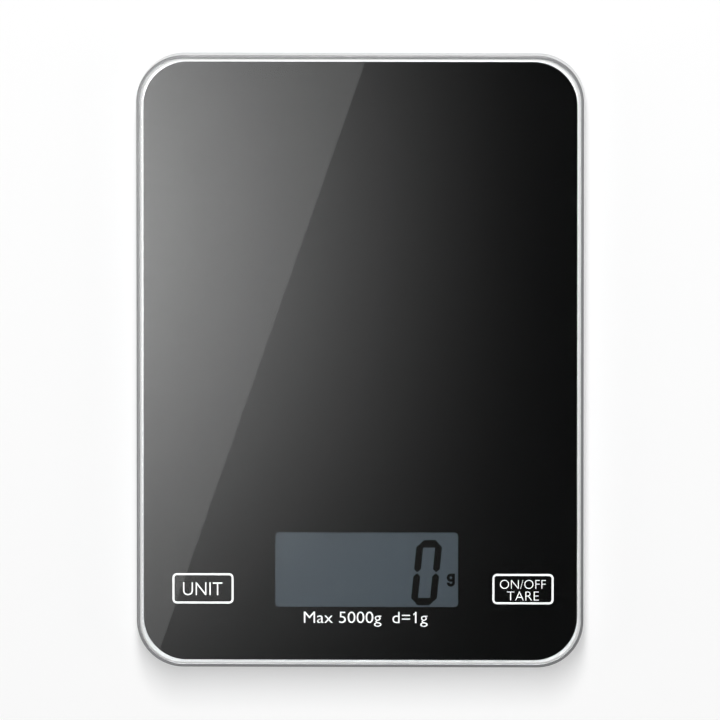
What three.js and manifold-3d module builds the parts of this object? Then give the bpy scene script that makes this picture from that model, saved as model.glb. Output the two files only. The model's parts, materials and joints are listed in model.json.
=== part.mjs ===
// Slim glass-topped kitchen scale for up to 5 kg, as an assembly of separate solids.
// Millimetres, +Z up. The origin is on the table under the middle of the scale, and the display edge is at -Y.
// Four corner feet carry the scale. Each foot pushes a load cell up, which sits in a round carrier on the floor
// of the lower housing. The glass is taped to the shelf of the silver bezel, and six screws from below join
// bezel and housing. The display, its circuit board and two touch electrodes lie just under the glass.
import * as THREE from "three";
import { mergeVertices } from "three/addons/utils/BufferGeometryUtils.js";
import Module from "manifold-3d";

const wasm = await Module();
wasm.setup();

// ---------------------------------------------------------------- driving dimensions
const WIDTH = 146; // widest outline, across X
const LENGTH = 200; // widest outline, along Y
const CORNER = 15.6; // corner radius of the widest outline
const CORNER_STEPS = 8;

// Heights, from the table up
const UNDERSIDE = 2.4; // underside of the lower housing
const FLOOR = 4.2; // inside floor of the lower housing
const BOSS_TOP = 7; // where the bezel's posts stand on the housing's bosses
const PARTING = 8.4; // top edge of the lower housing
const REVEAL = 0.3; // shadow gap between the two shells
const SHELF_UNDER = 10.4; // shelf of the bezel that carries the glass
const SHELF_TOP = 12;
const FILM_UNDER = 12.75;
const GLASS_UNDER = 13;
const RIM_TOP = 16.2;
const GLASS_TOP = 17;

// Insets from the widest outline
const RIM_INNER = 1.2; // inner face of the bezel's lip
const GLASS_EDGE = 1.4;
const FILM_EDGE = 2.5; // a narrow clear margin of glass stays outside the black print
const SHELF_INNER = 9.4;

const CLEAR = 0.3; // usual gap between neighbouring pieces
const GLASS_BEVEL = 0.8;

// Display and touch keys
const WINDOW = { x: 2.1, y: -68, width: 59.5, length: 24.4 };
const KEY_Y = -74.5;
const KEY_X = { unit: -51, tare: 53.2 };

// Feet and load cells
const FOOT_X = 54;
const FOOT_Y = 81;
const FOOT_STOP = 0.55; // a foot pushed up this far meets the carrier's ledge
const FOOT_RADIUS = 9.6;
const FLANGE_TOP = 5.4;
const CELL_UNDER = 7;
const CELL_TOP = 8.5;

// Circuit board
const BOARD = { left: -36, right: 39.8, front: -88.5, back: -47.5, under: 7, top: 8.6 };
const LCD = { width: 66, length: 29, under: 10, ledge: 11.3, top: 12.4 };

// Battery bay: the door opening in the floor, around a 20 mm coin cell
const DOOR = { width: 30, front: 3, back: 37, top: 4 };
const CELL = { y: 20, radius: 10, under: 4.6, top: 7.8 };
const BAY = { halfWidth: 15.9, front: 1.5, back: 40.5, wall: 1.4, ceiling: 8.7, top: 9.8 };

const SCREW = { x: 66.4, ys: [-52, 0, 52], headRadius: 2.5, shaftRadius: 1.1 };
const LEFT_RIGHT = [-1, 1];

// ---------------------------------------------------------------- materials
const paint = (color, roughness, metalness = 0) =>
  new THREE.MeshStandardMaterial({ color, roughness, metalness });
const GLASS = new THREE.MeshStandardMaterial({ color: 0x9fb4b4, roughness: 0.03, transparent: true, opacity: 0.35 });
const BLACK_PRINT = paint(0x0b0c0c, 0.4);
const SILVER = paint(0xa4a7aa, 0.3, 0.8);
const LIGHT_SHELL = paint(0xc9cbcd, 0.45);
const DARK_PLASTIC = paint(0x2a2b2d, 0.6);
const WHITE_PLASTIC = paint(0xe8e8e4, 0.5);
const RUBBER = paint(0x1c1c1d, 0.9);
const STEEL = paint(0xb4b6b8, 0.35, 1);
const BOARD_GREEN = paint(0x1f5a34, 0.5);
const LCD_GREY = paint(0x525a63, 0.3);
const EPOXY = paint(0x101010, 0.5);
const TAPE = paint(0x3a3a3a, 0.9);
const SILICONE = paint(0xdfe0dc, 0.6);
const BRASS = paint(0xc8a24a, 0.35, 1);
const RED_WIRE = paint(0xb3221d, 0.5);
const BLACK_WIRE = paint(0x161616, 0.5);
const GREY_WIRE = paint(0x8a8d90, 0.5);

// ---------------------------------------------------------------- solids
function toSolid(geometry) {
  const bare = new THREE.BufferGeometry().setAttribute("position", geometry.getAttribute("position"));
  if (geometry.index) bare.setIndex(geometry.index);
  const merged = mergeVertices(bare, 1e-4);
  return new wasm.Manifold(
    new wasm.Mesh({
      numProp: 3,
      vertProperties: merged.attributes.position.array,
      triVerts: new Uint32Array(merged.index.array),
    }),
  );
}

function toGeometry(solid) {
  const { numVert, numProp, vertProperties, triVerts } = solid.getMesh();
  const position = new Float32Array(numVert * 3);
  for (let i = 0; i < numVert; i++) {
    position.set(vertProperties.subarray(i * numProp, i * numProp + 3), i * 3);
  }
  const geometry = new THREE.BufferGeometry().setAttribute("position", new THREE.BufferAttribute(position, 3));
  geometry.setIndex(new THREE.BufferAttribute(triVerts, 1));
  return geometry;
}

const join = (first, ...others) => others.reduce((whole, part) => whole.add(part), first);
const cut = (first, ...others) => others.reduce((whole, part) => whole.subtract(part), first);

function roundedRect(width, length, radius, x = 0, y = 0) {
  const right = width / 2 - radius;
  const back = length / 2 - radius;
  const shape = new THREE.Shape();
  shape.absarc(x + right, y + back, radius, 0, Math.PI / 2);
  shape.absarc(x - right, y + back, radius, Math.PI / 2, Math.PI);
  shape.absarc(x - right, y - back, radius, Math.PI, 1.5 * Math.PI);
  shape.absarc(x + right, y - back, radius, 1.5 * Math.PI, 2 * Math.PI);
  shape.closePath();
  return shape;
}

function plate(shape, bottom, top, curveSegments = 2) {
  const geometry = new THREE.ExtrudeGeometry(shape, { depth: top - bottom, bevelEnabled: false, curveSegments });
  return toSolid(geometry.translate(0, 0, bottom));
}

function box(left, right, front, back, bottom, top) {
  const geometry = new THREE.BoxGeometry(right - left, back - front, top - bottom);
  return toSolid(geometry.translate((left + right) / 2, (front + back) / 2, (bottom + top) / 2));
}

function disc(x, y, radius, bottom, top, sides = 20) {
  const geometry = new THREE.CylinderGeometry(radius, radius, top - bottom, sides);
  return toSolid(geometry.rotateX(Math.PI / 2).translate(x, y, (bottom + top) / 2));
}

// A solid of revolution about the vertical line through (x, y). The profile is [radius, height] pairs.
function turned(x, y, profile, sides = 20) {
  const points = profile.map(([radius, height]) => new THREE.Vector2(radius, height));
  return toSolid(new THREE.LatheGeometry(points, sides).rotateX(Math.PI / 2).translate(x, y, 0));
}

// A bent strip: its side view in Y and Z, extruded across X.
function bentStrip(centreX, width, sideView) {
  const shape = new THREE.Shape(sideView.map(([y, z]) => new THREE.Vector2(y, z)));
  const geometry = new THREE.ExtrudeGeometry(shape, { depth: width, bevelEnabled: false });
  geometry.rotateX(Math.PI / 2).rotateZ(Math.PI / 2);
  return toSolid(geometry.translate(centreX - width / 2, 0, 0));
}

// The scale's outline pulled in by an inset, as points at one height, counter-clockwise from above.
function outline(inset, height) {
  const points = [];
  for (let quarter = 0; quarter < 4; quarter++) {
    const x = (quarter === 0 || quarter === 3 ? 1 : -1) * (WIDTH / 2 - CORNER);
    const y = (quarter < 2 ? 1 : -1) * (LENGTH / 2 - CORNER);
    for (let step = 0; step <= CORNER_STEPS; step++) {
      const angle = ((quarter + step / CORNER_STEPS) * Math.PI) / 2;
      points.push([x + (CORNER - inset) * Math.cos(angle), y + (CORNER - inset) * Math.sin(angle), height]);
    }
  }
  return points;
}

// Joins outlines given as [inset, height] into one skin. A frame closes on its own first outline; a slab gets
// flat ends instead. The section runs up the outside of the wall first.
function skin(section, isFrame) {
  const rings = section.map(([inset, height]) => outline(inset, height));
  const count = rings[0].length;
  const index = [];
  const lastWall = isFrame ? rings.length : rings.length - 1;
  for (let ring = 0; ring < lastWall; ring++) {
    const lower = ring * count;
    const upper = ((ring + 1) % rings.length) * count;
    for (let i = 0; i < count; i++) {
      const next = (i + 1) % count;
      index.push(lower + i, lower + next, upper + next, lower + i, upper + next, upper + i);
    }
  }
  if (!isFrame) {
    const top = (rings.length - 1) * count;
    for (let i = 1; i < count - 1; i++) {
      index.push(0, i + 1, i, top, top + i, top + i + 1);
    }
  }
  const geometry = new THREE.BufferGeometry();
  geometry.setAttribute("position", new THREE.Float32BufferAttribute(rings.flat(2), 3));
  return toSolid(geometry.setIndex(index));
}

const frame = (section) => skin(section, true);
const slab = (section) => skin(section, false);

// Points of a quarter round: turning from straight up to straight in.
function roundOver(inset, height, radius, steps) {
  const points = [];
  for (let step = 0; step <= steps; step++) {
    const angle = ((step / steps) * Math.PI) / 2;
    points.push([inset + radius * (1 - Math.cos(angle)), height + radius * Math.sin(angle)]);
  }
  return points;
}

// A wire along a smooth curve through hand-placed points.
function wire(points, radius, steps) {
  const path = new THREE.CatmullRomCurve3(points.map((p) => new THREE.Vector3(...p)));
  const section = new THREE.Shape();
  section.absarc(0, 0, radius, 0, 2 * Math.PI);
  return toSolid(new THREE.ExtrudeGeometry(section, { extrudePath: path, steps, curveSegments: 3 }));
}

// ---------------------------------------------------------------- the assembly
const scale = new THREE.Group();
scale.name = "kitchen_scale";

function addPiece(name, solid, material) {
  const mesh = new THREE.Mesh(toGeometry(solid), material);
  mesh.name = name;
  scale.add(mesh);
}

const corners = [
  { name: "front_left", x: -FOOT_X, y: -FOOT_Y },
  { name: "front_right", x: FOOT_X, y: -FOOT_Y },
  { name: "back_left", x: -FOOT_X, y: FOOT_Y },
  { name: "back_right", x: FOOT_X, y: FOOT_Y },
];

// ---------------------------------------------------------------- glass platform
// Four millimetre tempered glass with a rounded, polished top edge and a small chamfer below.
function glassPlatform() {
  const chamfer = 0.3;
  return slab([
    [GLASS_EDGE + chamfer, GLASS_UNDER],
    [GLASS_EDGE, GLASS_UNDER + chamfer],
    ...roundOver(GLASS_EDGE, GLASS_TOP - GLASS_BEVEL, GLASS_BEVEL, 4),
  ]);
}

// Black printed film on the back of the glass, clear only over the display.
function printedFilm() {
  const window = roundedRect(WINDOW.width, WINDOW.length, 1.2, WINDOW.x, WINDOW.y);
  return cut(
    slab([
      [FILM_EDGE, FILM_UNDER],
      [FILM_EDGE, GLASS_UNDER],
    ]),
    plate(window, FILM_UNDER - 1, GLASS_UNDER + 1),
  );
}

// Double-sided foam tape between the film and the bezel's shelf.
function adhesiveFrame() {
  const outer = 3;
  const inner = SHELF_INNER - 0.6;
  return frame([
    [outer, SHELF_TOP],
    [outer, FILM_UNDER],
    [inner, FILM_UNDER],
    [inner, SHELF_TOP],
  ]);
}

addPiece("glass_platform", glassPlatform(), GLASS);
addPiece("printed_film", printedFilm(), BLACK_PRINT);
addPiece("adhesive_frame", adhesiveFrame(), TAPE);

// ---------------------------------------------------------------- bezel
// Silver frame round the glass: a thin lip, the shelf under the glass, a tongue into the lower housing, and
// six posts for the screws.
function bezelFrame() {
  const lipRound = 0.6;
  const tongue = { outer: 1.8, inner: 3, bottom: 7.2 };
  const ring = frame([
    [tongue.outer, PARTING + REVEAL],
    [0, PARTING + REVEAL],
    ...roundOver(0.4, RIM_TOP - lipRound, lipRound, 3),
    [RIM_INNER, RIM_TOP],
    [RIM_INNER, SHELF_TOP],
    [SHELF_INNER, SHELF_TOP],
    [SHELF_INNER, SHELF_UNDER],
    [tongue.inner, SHELF_UNDER],
    [tongue.inner, tongue.bottom],
    [tongue.outer, tongue.bottom],
  ]);
  const posts = [];
  const pilots = [];
  for (const side of LEFT_RIGHT) {
    for (const y of SCREW.ys) {
      posts.push(disc(side * SCREW.x, y, 2.8, BOSS_TOP, SHELF_UNDER + 0.5, 16));
      pilots.push(disc(side * SCREW.x, y, SCREW.shaftRadius + 0.2, BOSS_TOP - 1, SHELF_UNDER - 0.4, 12));
    }
  }
  return cut(join(ring, ...posts), ...pilots);
}

addPiece("bezel_frame", bezelFrame(), SILVER);

// ---------------------------------------------------------------- lower housing
// The tray's outside curves in under the scale, and its inside follows at wall thickness.
function trayCurve(base, reach, bottom, rise, steps) {
  const points = [];
  for (let step = 0; step <= steps; step++) {
    const angle = ((step / steps) * Math.PI) / 2;
    points.push([base + reach * (1 - Math.sin(angle)), bottom + rise * (1 - Math.cos(angle))]);
  }
  return points;
}

function tray() {
  const wall = 1.6;
  const outside = slab([...trayCurve(0, 3.4, UNDERSIDE, 4.2, 5), [0, PARTING]]);
  const inside = slab([...trayCurve(wall, 2.6, FLOOR, 3, 3), [wall, PARTING + 1]]);
  return cut(outside, inside);
}

// Box over the coin cell, open towards the door, with a cradle that holds the cell in place.
function batteryBay() {
  const { halfWidth, front, back, wall, ceiling, top } = BAY;
  const overlap = 0.4; // how far the walls reach into the floor, to join it
  const walls = box(-halfWidth - wall, halfWidth + wall, front - wall, back + wall, FLOOR - overlap, top);
  const room = box(-halfWidth, halfWidth, front, back, FLOOR - 1, ceiling);
  const ring = cut(
    disc(0, CELL.y, CELL.radius + 1.6, CELL.under, ceiling + overlap, 24),
    disc(0, CELL.y, CELL.radius + 0.35, CELL.under - 1, ceiling + 1, 24),
    box(-4, 4, CELL.y - 12, CELL.y + 12, CELL.under - 1, ceiling + 1),
  );
  return { walls, room, ring };
}

function lowerHousing() {
  const bay = batteryBay();
  let body = join(tray(), bay.walls);
  const ribs = [];
  for (const side of LEFT_RIGHT) {
    ribs.push(box(side * 28 - 0.6, side * 28 + 0.6, -31, 90, FLOOR - 0.4, FLOOR + 1.3));
  }
  for (const y of [55, 78]) {
    ribs.push(box(-28, 28, y - 0.6, y + 0.6, FLOOR - 0.4, FLOOR + 1.3));
  }
  const bosses = [];
  const screwHoles = [];
  for (const side of LEFT_RIGHT) {
    for (const y of SCREW.ys) {
      const x = side * SCREW.x;
      bosses.push(disc(x, y, 3.8, FLOOR - 0.4, BOSS_TOP, 16));
      screwHoles.push(disc(x, y, SCREW.headRadius + CLEAR, UNDERSIDE - 1, FLOOR + 0.1, 16));
      screwHoles.push(disc(x, y, SCREW.shaftRadius + 0.25, FLOOR - 1, BOSS_TOP + 1, 12));
    }
  }
  for (const [x, y] of boardScrewPlaces) {
    bosses.push(disc(x, y, 2.4, FLOOR - 0.4, BOARD.under, 12));
    screwHoles.push(disc(x, y, 1.1, FLOOR + 0.4, BOARD.under + 1, 10));
  }
  body = cut(join(body, ...ribs, ...bosses), bay.room, ...screwHoles);
  body = join(body, bay.ring);
  const doorway = roundedRect(
    DOOR.width + 2 * CLEAR,
    DOOR.back - DOOR.front + 2 * CLEAR,
    1.5,
    0,
    (DOOR.front + DOOR.back) / 2,
  );
  // Thumb notch in front of the door's latch
  const notch = turned(0, DOOR.front - 0.5, [[0, 1.4], [6.5, 1.4], [5, 3.4], [0, 3.6]], 20);
  const contactSlots = [CONTACT_TAIL.negative, CONTACT_TAIL.positive].map((y) =>
    box(-CONTACT_TAIL.width / 2 - CLEAR, CONTACT_TAIL.width / 2 + CLEAR, y - 0.45, y + 0.45, CELL.top, BAY.top + 1),
  );
  const footHoles = corners.map(({ x, y }) => disc(x, y, FOOT_RADIUS + 0.4, UNDERSIDE - 1, FLOOR + 1, 24));
  return cut(body, plate(doorway, UNDERSIDE - 1, FLOOR + 0.2), notch, ...contactSlots, ...footHoles);
}

const boardScrewPlaces = [
  [-30, BOARD.front + 2.2],
  [34, BOARD.front + 2.2],
  [-30, BOARD.back - 2.2],
  [34, BOARD.back - 2.2],
];
const CONTACT_TAIL = { negative: 10.8, positive: 34, width: 4 };

addPiece("lower_housing", lowerHousing(), LIGHT_SHELL);

// ---------------------------------------------------------------- screws
// Pan-head screw with a cross recess. An upward screw has its head below its shaft.
function screw(x, y, headUnder, headTop, headRadius, shaftRadius, shaftEnd) {
  const upward = shaftEnd > headTop;
  const face = upward ? headUnder : headTop;
  const recess = 0.7;
  const [low, high] = upward ? [face - 1, face + recess] : [face - recess, face + 1];
  const arm = headRadius * 0.6;
  return cut(
    join(
      disc(x, y, headRadius, headUnder, headTop, 14),
      disc(x, y, shaftRadius, Math.min(headUnder, shaftEnd), Math.max(headTop, shaftEnd), 8),
    ),
    box(x - arm, x + arm, y - 0.3, y + 0.3, low, high),
    box(x - 0.3, x + 0.3, y - arm, y + arm, low, high),
  );
}

let screwNumber = 0;
for (const side of LEFT_RIGHT) {
  for (const y of SCREW.ys) {
    screwNumber += 1;
    const solid = screw(side * SCREW.x, y, 2.65, 4.2, SCREW.headRadius, SCREW.shaftRadius, 9.6);
    addPiece(`housing_screw_${screwNumber}`, solid, STEEL);
  }
}
boardScrewPlaces.forEach(([x, y], i) => {
  addPiece(`board_screw_${i + 1}`, screw(x, y, BOARD.top, 9.8, 1.8, 0.85, 5), STEEL);
});

// ---------------------------------------------------------------- electronics
function circuitBoard() {
  const { left, right, front, back, under, top } = BOARD;
  const outline = roundedRect(right - left, back - front, 1, (left + right) / 2, (front + back) / 2);
  const holes = boardScrewPlaces.map(([x, y]) => disc(x, y, 1.15, under - 1, top + 1, 10));
  return cut(plate(outline, under, top, 1), ...holes);
}

// Epoxy dome over the bare chip, under the board.
function chipBlob() {
  return turned(WINDOW.x, -70, [[0, 5.7], [3, 5.85], [5.2, 6.4], [6, BOARD.under], [0, BOARD.under]], 16);
}

// Row of solder terminals on the board where the load cell leads arrive.
const terminalRows = { left: [-12, 0], right: [4.9, 16] };
const TERMINAL = { front: -51.3, back: -48.5, top: 11 };

function terminalRow([left, right]) {
  return box(left, right, TERMINAL.front, TERMINAL.back, BOARD.top, TERMINAL.top);
}

addPiece("circuit_board", circuitBoard(), BOARD_GREEN);
addPiece("chip_blob", chipBlob(), EPOXY);
addPiece("lead_connector_left", terminalRow(terminalRows.left), WHITE_PLASTIC);
addPiece("lead_connector_right", terminalRow(terminalRows.right), WHITE_PLASTIC);

// Display: the front glass overhangs the rear glass along its lower edge, where its contacts are.
const lcdFront = WINDOW.y - LCD.length / 2;
const lcdBack = WINDOW.y + LCD.length / 2;
const lcdLeft = WINDOW.x - LCD.width / 2;
const lcdRight = WINDOW.x + LCD.width / 2;
const CONTACT_LEDGE = 4;

function lcdGlass() {
  return join(
    box(lcdLeft, lcdRight, lcdFront, lcdBack, LCD.ledge, LCD.top),
    box(lcdLeft, lcdRight, lcdFront + CONTACT_LEDGE, lcdBack, LCD.under + 0.2, LCD.ledge),
  );
}

function lcdPolariser() {
  return box(lcdLeft + 0.5, lcdRight - 0.5, lcdFront + 1.2, lcdBack - 0.5, LCD.top, LCD.top + 0.2);
}

function lcdReflector() {
  const front = lcdFront + CONTACT_LEDGE + 0.5;
  return box(lcdLeft + 0.5, lcdRight - 0.5, front, lcdBack - 0.5, LCD.under, LCD.under + 0.2);
}

// White holder that keeps the display flat under the window.
function lcdHolder() {
  const wall = 1.5;
  const fit = 0.25;
  const bottom = BOARD.top;
  const outer = box(
    lcdLeft - fit - wall,
    lcdRight + fit + wall,
    lcdFront - fit - wall,
    lcdBack + fit + wall,
    bottom,
    LCD.top - 0.2,
  );
  const seat = box(lcdLeft - fit, lcdRight + fit, lcdFront - fit, lcdBack + fit, LCD.under, LCD.top + 1);
  const hollow = box(lcdLeft + 3, lcdRight - 3, lcdFront + 6.5, lcdBack - 3, bottom - 1, LCD.under + 1);
  const stripSlot = box(lcdLeft + 1.5, lcdRight - 1.5, lcdFront + 0.4, lcdFront + 3.8, bottom - 1, LCD.under + 1);
  return cut(outer, seat, hollow, stripSlot);
}

// Rubber strip with conducting layers that joins the board to the display's contacts.
function zebraStrip() {
  return box(lcdLeft + 2, lcdRight - 2, lcdFront + 1, lcdFront + 3.2, BOARD.top, LCD.ledge);
}

addPiece("lcd_glass", lcdGlass(), LCD_GREY);
addPiece("lcd_polariser", lcdPolariser(), LCD_GREY);
addPiece("lcd_reflector", lcdReflector(), SILVER);
addPiece("lcd_holder", lcdHolder(), WHITE_PLASTIC);
addPiece("zebra_connector", zebraStrip(), RUBBER);

// Copper-faced electrodes stuck under the film behind each touch key, and their leads to the board.
const ELECTRODE = { width: 18, length: 9, under: 11.95 };
const touchSides = [
  { key: "unit", padX: BOARD.left + 1.5, inward: 1 },
  { key: "tare", padX: BOARD.right - 1.5, inward: -1 },
];
for (const { key, padX, inward } of touchSides) {
  const keyX = KEY_X[key];
  const shape = roundedRect(ELECTRODE.width, ELECTRODE.length, 1.5, keyX, KEY_Y);
  addPiece(`touch_electrode_${key}`, plate(shape, ELECTRODE.under, FILM_UNDER, 1), BRASS);
  const edge = keyX + inward * (ELECTRODE.width / 2 + CLEAR);
  const route = [
    [edge, KEY_Y, 12.1],
    [edge + inward * 1.2, KEY_Y, 12.1],
    [padX - inward * 1.3, KEY_Y, 11.6],
    [padX, KEY_Y, 10.3],
    [padX, KEY_Y, BOARD.top + CLEAR],
  ];
  addPiece(`touch_lead_${key}`, wire(route, 0.5, 10), GREY_WIRE);
}

// ---------------------------------------------------------------- load cells, carriers and feet
// Stamped steel cell: a U-shaped slot leaves a tongue that the foot's stem bends. Its root faces the middle of
// the scale, where the gauge is bonded and the lead leaves.
function loadCell({ x, y }) {
  const rootSide = -Math.sign(y);
  const shape = roundedRect(19, 15, 1, x, y);
  const slot = [[-5, -4], [5, -4], [5, 3], [3.8, 3], [3.8, -2.8], [-3.8, -2.8], [-3.8, 3], [-5, 3]];
  shape.holes.push(new THREE.Path(slot.map(([u, v]) => new THREE.Vector2(x + u, y + rootSide * v))));
  return plate(shape, CELL_UNDER, CELL_TOP, 1);
}

function strainGauge({ x, y }) {
  const rootSide = -Math.sign(y);
  return plate(roundedRect(5, 3, 0.8, x, y + rootSide * 5.2), CELL_TOP, CELL_TOP + 0.6, 1);
}

// Round plastic carrier. Its ledge holds the cell up and stops an overloaded foot; two lugs keep the cell down.
function footCarrier({ x, y }) {
  const rootSide = -Math.sign(y);
  const outer = 13.4;
  const inner = 12.1;
  const top = 9.2;
  const wall = cut(disc(x, y, outer, FLOOR, top, 24), disc(x, y, inner, FLOOR - 1, top + 1, 24));
  const ledge = cut(disc(x, y, inner + 0.3, FLANGE_TOP + FOOT_STOP, CELL_UNDER, 24), disc(x, y, 8.2, 5, 8, 20));
  const lugs = [];
  for (const side of LEFT_RIGHT) {
    const reach = [x + side * 9, x + side * 12.4].sort((a, b) => a - b);
    lugs.push(box(...reach, y - 1.5, y + 1.5, CELL_TOP + 0.1, top));
  }
  const exit = [y + rootSide * 11, y + rootSide * 15].sort((a, b) => a - b);
  return cut(join(wall, ledge, ...lugs), box(x - 1.5, x + 1.5, ...exit, 7.4, top + 1));
}

// Hard foot with a retaining flange inside the housing and a stem that pushes the cell's tongue.
function foot({ x, y }) {
  const profile = [
    [0, 1.5],
    [8.4, 1.5],
    [8.4, 0.9],
    [9.2, 0.9],
    [FOOT_RADIUS, 1.3],
    [FOOT_RADIUS, 4.5],
    [11.4, 4.5],
    [11.4, FLANGE_TOP],
    [2.6, FLANGE_TOP],
    [2.6, CELL_UNDER],
    [0, CELL_UNDER],
  ];
  return turned(x, y, profile);
}

// Rubber pad in the foot's recess, with a rounded lower edge.
function footPad({ x, y }) {
  return turned(x, y, [[0, 0], [7.4, 0], [7.9, 0.15], [8.1, 0.5], [8.1, 1.5], [0, 1.5]]);
}

for (const corner of corners) {
  addPiece(`load_cell_${corner.name}`, loadCell(corner), STEEL);
  addPiece(`strain_gauge_${corner.name}`, strainGauge(corner), SILICONE);
  addPiece(`foot_carrier_${corner.name}`, footCarrier(corner), WHITE_PLASTIC);
  addPiece(`foot_${corner.name}`, foot(corner), DARK_PLASTIC);
  addPiece(`foot_pad_${corner.name}`, footPad(corner), RUBBER);
}

// Leads of the load cells: out of the carrier, down to the floor, and along it to the board's terminals.
const LEAD = { radius: 0.8, floorHeight: FLOOR + 1.3, arriveHeight: 10 };
const arrivals = { front_left: -9, back_left: -3, back_right: 7.9, front_right: 13 };

function leadRoute({ name, x, y }) {
  const side = Math.sign(x);
  const arriveX = arrivals[name];
  const arriveY = TERMINAL.back + CLEAR;
  const low = LEAD.floorHeight;
  if (name.startsWith("front")) {
    const lane = -42.5;
    return [
      [x, y + 7.05, 9.5],
      [x, y + 13, 9.1],
      [x, y + 18, 6.6],
      [x - side * 0.5, y + 23, low],
      [x - side * 2.5, lane - 7, low],
      [x - side * 9, lane, low],
      [arriveX + side * 9, lane, low],
      [arriveX + side * 2, lane + 0.3, 6.8],
      [arriveX, lane - 1.5, 9.4],
      [arriveX, arriveY, LEAD.arriveHeight],
    ];
  }
  const lane = -37;
  return [
    [x, y - 7.05, 9.5],
    [x, y - 13, 9.1],
    [x, y - 18, 6.6],
    [x - side * 0.5, y - 24, low],
    [x - side * 4, y - 45, low],
    [x - side * 4, lane + 30, low],
    [x - side * 5, lane + 10, low],
    [x - side * 12, lane, low],
    [arriveX + side * 10, lane, low],
    [arriveX + side * 2.2, lane - 1, 6.6],
    [arriveX, lane - 5, 9.4],
    [arriveX, arriveY + 2, LEAD.arriveHeight],
    [arriveX, arriveY, LEAD.arriveHeight],
  ];
}

for (const corner of corners) {
  const steps = corner.name.startsWith("front") ? 24 : 38;
  addPiece(`load_cell_lead_${corner.name}`, wire(leadRoute(corner), LEAD.radius, steps), GREY_WIRE);
}

// ---------------------------------------------------------------- battery
function coinCell() {
  const { y, radius, under, top } = CELL;
  const rimRound = 0.4;
  const profile = [
    [0, under],
    [radius - rimRound, under],
    [radius, under + rimRound],
    [radius, top - 0.5],
    [radius - 0.7, top - 0.3],
    [radius - 1.6, top],
    [0, top],
  ];
  return turned(0, y, profile, 28);
}

// Sprung strips of nickel-plated steel. Each has a solder tail that passes up through the bay's ceiling.
function negativeContact() {
  const tail = CONTACT_TAIL.negative;
  return bentStrip(0, CONTACT_TAIL.width, [
    [tail - 0.15, 11],
    [tail - 0.15, 8.25],
    [tail + 4, 8.25],
    [tail + 9.5, 7.95],
    [tail + 12, 8.2],
    [tail + 12, 8.5],
    [tail + 9.5, 8.25],
    [tail + 4, 8.55],
    [tail + 0.15, 8.55],
    [tail + 0.15, 11],
  ]);
}

function positiveContact() {
  const tail = CONTACT_TAIL.positive;
  const rim = CELL.y + CELL.radius + 0.25; // where the strip bears on the cell's rim
  return bentStrip(0, CONTACT_TAIL.width, [
    [tail + 0.15, 11],
    [tail - 0.15, 11],
    [tail - 0.15, 8.5],
    [rim + 1, 8.2],
    [rim, 6.6],
    [rim + 0.6, 5.2],
    [rim + 0.9, 5.3],
    [rim + 0.35, 6.6],
    [rim + 1.2, 7.9],
    [tail + 0.15, 8.2],
  ]);
}

addPiece("coin_cell", coinCell(), STEEL);
addPiece("contact_negative", negativeContact(), STEEL);
addPiece("contact_positive", positiveContact(), STEEL);

const overBay = 10.6;
const boardPadY = BOARD.back - 2;
const negativeRoute = [
  [0, CONTACT_TAIL.negative - 0.15 - CLEAR, overBay],
  [0.2, 6, overBay],
  [0.6, -2, overBay],
  [1, -20, 7.4],
  [1, -36, 9],
  [1, boardPadY + 3, 11],
  [1, boardPadY + 0.3, 10.4],
  [1, boardPadY, BOARD.top + CLEAR],
];
const positiveRoute = [
  [0, CONTACT_TAIL.positive - 0.15 - CLEAR, overBay],
  [0.9, 30, overBay],
  [3.6, 24, overBay],
  [4, 8, overBay],
  [3.9, -2, overBay],
  [3.6, -20, 7.4],
  [3.5, -36, 9],
  [3.5, boardPadY + 3, 11],
  [3.5, boardPadY + 0.3, 10.4],
  [3.5, boardPadY, BOARD.top + CLEAR],
];
addPiece("battery_lead_negative", wire(negativeRoute, 0.6, 20), BLACK_WIRE);
addPiece("battery_lead_positive", wire(positiveRoute, 0.6, 26), RED_WIRE);

// Door flush with the underside. Two hooks over the housing's floor make its hinge; the sprung latch is at the
// other end, freed by a U-shaped slot, and a low snap ridge on it holds the door shut.
function batteryDoor() {
  const middle = (DOOR.front + DOOR.back) / 2;
  const panel = plate(roundedRect(DOOR.width, DOOR.back - DOOR.front, 1.2, 0, middle), UNDERSIDE, DOOR.top);
  const hooks = [];
  for (const side of LEFT_RIGHT) {
    const left = side * 8.5 - 2;
    hooks.push(box(left, left + 4, DOOR.back - 1.6, DOOR.back, DOOR.top - 0.3, 5.5));
    hooks.push(box(left, left + 4, DOOR.back - 0.3, DOOR.back + 2.2, 4.5, 5.5));
  }
  const latch = { half: 5, slot: 0.8, length: 7 };
  const latchSlots = [
    box(-latch.half - latch.slot, -latch.half, DOOR.front - 1, DOOR.front + latch.length, 0, 9),
    box(latch.half, latch.half + latch.slot, DOOR.front - 1, DOOR.front + latch.length, 0, 9),
  ];
  const ridge = box(-3.5, 3.5, DOOR.front - 0.13, DOOR.front + 0.9, DOOR.top - 0.3, 4.9);
  const grips = [0, 1, 2].map((i) => {
    const y = DOOR.front + 1.6 + i * 1.3;
    return box(-3.2, 3.2, y - 0.25, y + 0.25, UNDERSIDE - 1, UNDERSIDE + 0.35);
  });
  return cut(join(panel, ...hooks, ridge), ...latchSlots, ...grips);
}

addPiece("battery_door", batteryDoor(), LIGHT_SHELL);
addPiece("door_foam_pad", disc(0, CELL.y, 5, DOOR.top, CELL.under - 0.1, 16), TAPE);

export default scale;
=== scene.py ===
# %% [markdown]
# # A slim glass kitchen scale
# A flat glass plate sits in a silver frame over a light grey tray. The display and two touch keys show
# through the glass, and four load-cell feet carry it all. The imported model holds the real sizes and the
# joints. This file remakes what can be seen with finer edges, and gives every piece its finish.

import json
import math

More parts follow.
